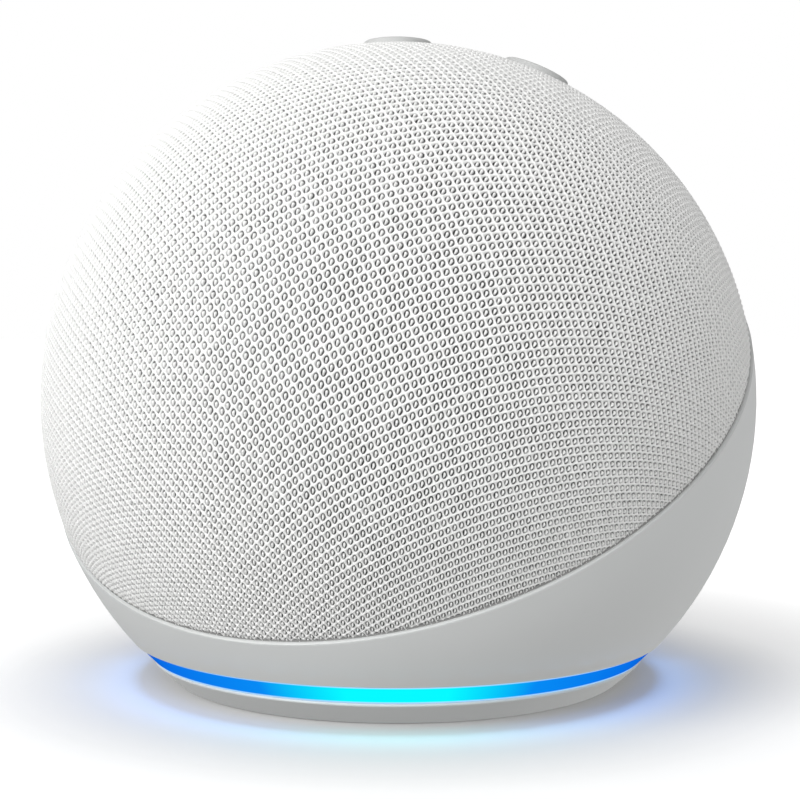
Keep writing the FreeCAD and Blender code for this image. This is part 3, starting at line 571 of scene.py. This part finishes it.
FINISHES = {
    "shell_plastic": dict(colour=(0.705, 0.72, 0.715), vary=0.012, roughness=0.42, grain=6000.0,
                          grain_depth=0.004 * MM, patch=40.0),
    "base_plastic": dict(colour=(0.60, 0.615, 0.61), vary=0.015, roughness=0.42, grain=6000.0,
                         grain_depth=0.004 * MM, patch=40.0),
    "dark_plastic": dict(colour=(0.035, 0.035, 0.038), vary=0.15, roughness=0.5, grain=4000.0),
    "frame_plastic": dict(colour=(0.07, 0.07, 0.075), vary=0.15, roughness=0.55, grain=3000.0),
    "trim_rubber": dict(colour=(0.30, 0.30, 0.295), vary=0.10, roughness=0.7, grain=3000.0),
    "clear_plastic": dict(colour=(0.70, 0.80, 0.90), vary=0.05, roughness=0.15, grain=1500.0),
    "foot_rubber": dict(colour=(0.03, 0.03, 0.032), vary=0.2, roughness=0.85, grain=3500.0,
                        grain_depth=0.03 * MM),
    "circuit_board": dict(colour=(0.02, 0.13, 0.06), vary=0.25, roughness=0.35, grain=1500.0, patch=400.0),
    "chip_black": dict(colour=(0.02, 0.02, 0.022), vary=0.2, roughness=0.6, grain=5000.0),
    "led_white": dict(colour=(0.85, 0.86, 0.75), vary=0.05, roughness=0.25, grain=2000.0),
    "shield_steel": dict(colour=(0.60, 0.60, 0.61), vary=0.06, roughness=0.3, metallic=1.0, grain=2500.0),
    "screw_steel": dict(colour=(0.42, 0.42, 0.44), vary=0.08, roughness=0.35, metallic=1.0, grain=3000.0),
    "heat_aluminium": dict(colour=(0.75, 0.76, 0.77), vary=0.05, roughness=0.35, metallic=1.0),
    "contact_brass": dict(colour=(0.75, 0.55, 0.25), vary=0.06, roughness=0.25, metallic=1.0),
    "magnet_steel": dict(colour=(0.08, 0.08, 0.085), vary=0.15, roughness=0.4, metallic=0.6),
    "cone_paper": dict(colour=(0.05, 0.05, 0.052), vary=0.25, roughness=0.9, grain=2500.0,
                       grain_depth=0.05 * MM),
    "copper_coil": dict(colour=(0.70, 0.34, 0.18), vary=0.10, roughness=0.35, metallic=1.0, grain=5000.0),
    "foam_seal": dict(colour=(0.05, 0.05, 0.052), vary=0.3, roughness=0.95, grain=2500.0,
                      grain_depth=0.08 * MM),
    "wire_sleeve": dict(colour=(0.40, 0.04, 0.03), vary=0.1, roughness=0.5),
    "ribbon_film": dict(colour=(0.50, 0.27, 0.07), vary=0.12, roughness=0.3, patch=300.0),
}
BUTTON_FINISH = dict(colour=(0.50, 0.505, 0.50), vary=0.02, roughness=0.75, grain=5000.0,
                     grain_depth=0.006 * MM, specular=0.12)
SEAM_EDGE = 0.30 * MM               # the rounded rim at the seam carries painted shade of the gap
SEAM_EDGE_SHADE = 0.78


def housing_material():
    """The housing's plastic, with painted shade of the gap on its rounded upper rim."""
    material = surface("lower_housing_painted_seam_shade", **FINISHES["shell_plastic"])
    tree = material.node_tree
    shader = tree.nodes["Principled BSDF"]
    plain = shader.inputs["Base Color"].links[0].from_socket
    place = new_node(tree, "ShaderNodeTexCoord")
    height = new_node(tree, "ShaderNodeVectorMath", operation="DOT_PRODUCT")
    tree.links.new(place.outputs["Object"], height.inputs[0])
    height.inputs[1].default_value = SEAM_NORMAL.tolist()
    rim = SEAM_OFFSET - SEAM_GAP / 2 + BALL_CENTRE.dot(Vector(SEAM_NORMAL.tolist()))
    # painted shade: the plastic's colour darkens on the rounded rim by the seam
    shade = new_node(tree, "ShaderNodeMapRange", interpolation_type="SMOOTHSTEP",
                     From_Min=rim - SEAM_EDGE, From_Max=rim - 0.4 * SEAM_EDGE,
                     To_Min=1.0, To_Max=SEAM_EDGE_SHADE)
    tree.links.new(height.outputs["Value"], shade.inputs["Value"])
    product = new_node(tree, "ShaderNodeVectorMath", operation="SCALE")
    tree.links.new(plain, product.inputs[0])
    tree.links.new(shade.outputs["Result"], product.inputs["Scale"])
    tree.links.new(product.outputs["Vector"], shader.inputs["Base Color"])
    return material


def finish_cad_nodes():
    materials = {slot: surface(slot + "_finish", **values) for slot, values in FINISHES.items()}
    materials["ring_diffuser"] = ring_material()
    cap = surface("button_finish", **BUTTON_FINISH)
    special = {name + "_button": cap for name in BUTTON_NAMES}
    special["lower_housing"] = housing_material()
    for part in frame["record"]["subparts"]:
        slot = part["material_slot"]
        if slot not in materials:
            continue
        node = NODES[part["node"]]
        node.data.materials.clear()
        node.data.materials.append(special.get(part["node"], materials[slot]))


# ---------------------------------------------------------------- camera, lights and floor
VIEW_TURN = math.radians(25.4)
VIEW_RISE = math.radians(2.65)
VIEW_DISTANCE = 225.0 * MM
VIEW_SHIFT = (0.334 * MM, -0.167 * MM)   # the view is aimed this far right and up of the ball's centre
LENS = 70.9
SKY_LEVEL = 0.15                    # radiance of the studio's dim walls
SKY_BACK = 0.55                     # what the white paper behind the speaker adds
SKY_BOUNCE = 0.28                   # and what the white floor on the right throws back
LAMPS = ((-52, 14, 0.57), (-40, 36, 0.49), (15, 16, 0.48))   # degrees to the right and up, and level
LAMP_WATTS = 7.99                   # power for a level of one from LAMP_AWAY
LAMP_AWAY = 0.9
LAMP_SIZE = 0.7
FLOOR_R = 6.0
FLOOR_COLOUR = (0.66, 0.66, 0.66)
# The floor's own light by distance from the middle: it is painted dim near the speaker as its soft shadow, and as
# bright as the backdrop further off.
FLOOR_GLOW_PAINTED_SHADOW = ((0.034, 0.03), (0.045, 0.13), (0.060, 0.42), (0.10, 0.80), (0.25, 1.0))
GLOW_LAMPS = 48
GLOW_SIZE = 6.0 * MM
GLOW_PROUD = 0.6 * MM               # the lamps stand this far out from the ring
GLOW_DROP = 0.35                    # and aim down by this much for each unit outward
GLOW_SPREAD = math.radians(50)      # the cyan fades to blue over this turn from the voice
GLOW_FRONT_TURN = math.radians(100)
GLOW_POWER = (0.00014, 0.00006)     # of each lamp within that turn, and behind it
FRONT_GLOW = (0.22, 0.68, 0.78)
SIDE_GLOW = (0.16, 0.42, 1.0)


def camera_axes():
    right = Vector((math.cos(VIEW_TURN), math.sin(VIEW_TURN), 0))
    back = Vector((math.sin(VIEW_TURN) * math.cos(VIEW_RISE), -math.cos(VIEW_TURN) * math.cos(VIEW_RISE),
                   math.sin(VIEW_RISE)))
    return right, back.cross(right), back


def make_camera():
    right, up, back = camera_axes()
    aim = BALL_CENTRE + right * VIEW_SHIFT[0] + up * VIEW_SHIFT[1]
    data = bpy.data.cameras.new("camera")
    data.lens = LENS
    data.sensor_width = 36.0
    data.clip_start = 0.005
    camera = bpy.data.objects.new("camera", data)
    camera.matrix_world = Matrix((right, up, back)).transposed().to_4x4()
    camera.location = aim + back * VIEW_DISTANCE
    bpy.context.scene.collection.objects.link(camera)
    bpy.context.scene.camera = camera


def area_light(name, where, aim, size, power, colour=(1, 1, 1)):
    """A round soft lamp that the camera doesn't see."""
    data = bpy.data.lights.new(name, "AREA")
    data.shape = "DISK"
    data.size = size
    data.energy = power
    data.color = colour
    lamp = bpy.data.objects.new(name, data)
    lamp.location = where
    lamp.rotation_euler = (Vector(aim) - Vector(where)).to_track_quat("-Z", "Y").to_euler()
    lamp.visible_camera = False
    bpy.context.scene.collection.objects.link(lamp)


def around(turn, rise, distance):
    """A place seen from the ball's centre: turn from the front towards +X, rise above level."""
    return BALL_CENTRE + Vector((math.sin(turn) * math.cos(rise), -math.cos(turn) * math.cos(rise),
                                 math.sin(rise))) * distance


def make_sky():
    """Dim studio walls with white paper behind the speaker, and a plain white backdrop to look at."""
    scene = bpy.context.scene
    world = bpy.data.worlds.new("studio")
    world.use_nodes = True
    scene.world = world
    tree = world.node_tree
    place = new_node(tree, "ShaderNodeTexCoord")
    behind = new_node(tree, "ShaderNodeVectorMath", operation="DOT_PRODUCT")
    tree.links.new(place.outputs["Generated"], behind.inputs[0])
    behind.inputs[1].default_value = -camera_axes()[2]
    level = new_node(tree, "ShaderNodeMapRange", interpolation_type="SMOOTHSTEP",
                     From_Min=0.0, From_Max=0.6, To_Min=SKY_LEVEL, To_Max=SKY_LEVEL + SKY_BACK)
    tree.links.new(behind.outputs["Value"], level.inputs["Value"])
    right, up, _ = camera_axes()
    low_right = new_node(tree, "ShaderNodeVectorMath", operation="DOT_PRODUCT")
    tree.links.new(place.outputs["Generated"], low_right.inputs[0])
    low_right.inputs[1].default_value = right * 0.8 - up * 0.6
    bounce = new_node(tree, "ShaderNodeMapRange", interpolation_type="SMOOTHSTEP",
                      From_Min=0.2, From_Max=1.0, To_Min=0.0, To_Max=SKY_BOUNCE)
    tree.links.new(low_right.outputs["Value"], bounce.inputs["Value"])
    total = new_node(tree, "ShaderNodeMath", operation="ADD")
    tree.links.new(level.outputs["Result"], total.inputs[0])
    tree.links.new(bounce.outputs["Result"], total.inputs[1])
    walls = tree.nodes["Background"]
    walls.inputs["Color"].default_value = (1, 1, 1, 1)
    tree.links.new(total.outputs[0], walls.inputs["Strength"])
    backdrop = new_node(tree, "ShaderNodeBackground")
    backdrop.inputs["Color"].default_value = (1, 1, 1, 1)
    path = new_node(tree, "ShaderNodeLightPath")
    mix = new_node(tree, "ShaderNodeMixShader")
    tree.links.new(path.outputs["Is Camera Ray"], mix.inputs["Fac"])
    tree.links.new(walls.outputs[0], mix.inputs[1])
    tree.links.new(backdrop.outputs[0], mix.inputs[2])
    tree.links.new(mix.outputs[0], tree.nodes["World Output"].inputs["Surface"])


def make_floor():
    """A white floor that throws no light of its own back at the speaker, with a painted soft shadow round the
    speaker in its own glow.
    """
    mesh = bpy.data.meshes.new("floor")
    shape = bmesh.new()
    bmesh.ops.create_circle(shape, cap_ends=True, segments=96, radius=FLOOR_R)
    shape.to_mesh(mesh)
    shape.free()
    floor = bpy.data.objects.new("floor", mesh)
    bpy.context.scene.collection.objects.link(floor)
    floor.visible_diffuse = False
    floor.visible_glossy = False
    material, tree, shader = node_material("floor_white_painted_shadow")
    shader.inputs["Base Color"].default_value = (*FLOOR_COLOUR, 1)
    shader.inputs["Roughness"].default_value = 0.6
    shader.inputs["Specular IOR Level"].default_value = 0.0
    place = new_node(tree, "ShaderNodeTexCoord")
    away = new_node(tree, "ShaderNodeVectorMath", operation="LENGTH")
    tree.links.new(place.outputs["Object"], away.inputs[0])
    share = new_node(tree, "ShaderNodeMath", operation="DIVIDE")
    share.inputs[1].default_value = FLOOR_GLOW_PAINTED_SHADOW[-1][0]
    tree.links.new(away.outputs["Value"], share.inputs[0])
    # painted shadow: the floor's own glow fades near the speaker
    lit = ramp(tree, share.outputs[0], [(r / FLOOR_GLOW_PAINTED_SHADOW[-1][0], (v, v, v)) for r, v in FLOOR_GLOW_PAINTED_SHADOW])
    tree.links.new(lit, shader.inputs["Emission Color"])
    shader.inputs["Emission Strength"].default_value = 1.0
    mesh.materials.append(material)


def make_stage():
    bpy.context.scene.view_settings.view_transform = "Standard"
    make_sky()
    make_floor()
    for i, (turn, rise, level) in enumerate(LAMPS):
        where = around(VIEW_TURN + math.radians(turn), math.radians(rise), LAMP_AWAY)
        area_light("softbox_%d" % i, where, BALL_CENTRE, LAMP_SIZE, LAMP_WATTS * level)


def make_ring_glow():
    """Small lamps round the ring that throw its light on the floor, the housing and the base."""
    low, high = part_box("light_ring")
    height = (low.z + high.z) / 2
    radius = (high.x - low.x) / 2 + GLOW_PROUD
    for i in range(GLOW_LAMPS):
        turn = VOICE_ANGLE + 2 * math.pi * i / GLOW_LAMPS
        away = abs((turn - VOICE_ANGLE + math.pi) % (2 * math.pi) - math.pi)
        cyan = max(0.0, 1 - away / GLOW_SPREAD)
        colour = tuple(a * cyan + b * (1 - cyan) for a, b in zip(FRONT_GLOW, SIDE_GLOW))
        power = GLOW_POWER[0] if away < GLOW_FRONT_TURN else GLOW_POWER[1]
        out = Vector((math.sin(turn), -math.cos(turn), 0))
        where = out * radius + Vector((0, 0, height))
        aim = where + out - Vector((0, 0, GLOW_DROP))
        area_light("ring_glow_%02d" % i, where, aim, GLOW_SIZE, power, colour)


# ---------------------------------------------------------------- build everything
finish_cad_nodes()
make_cover()
make_marks()
make_camera()
make_stage()
make_ring_glow()
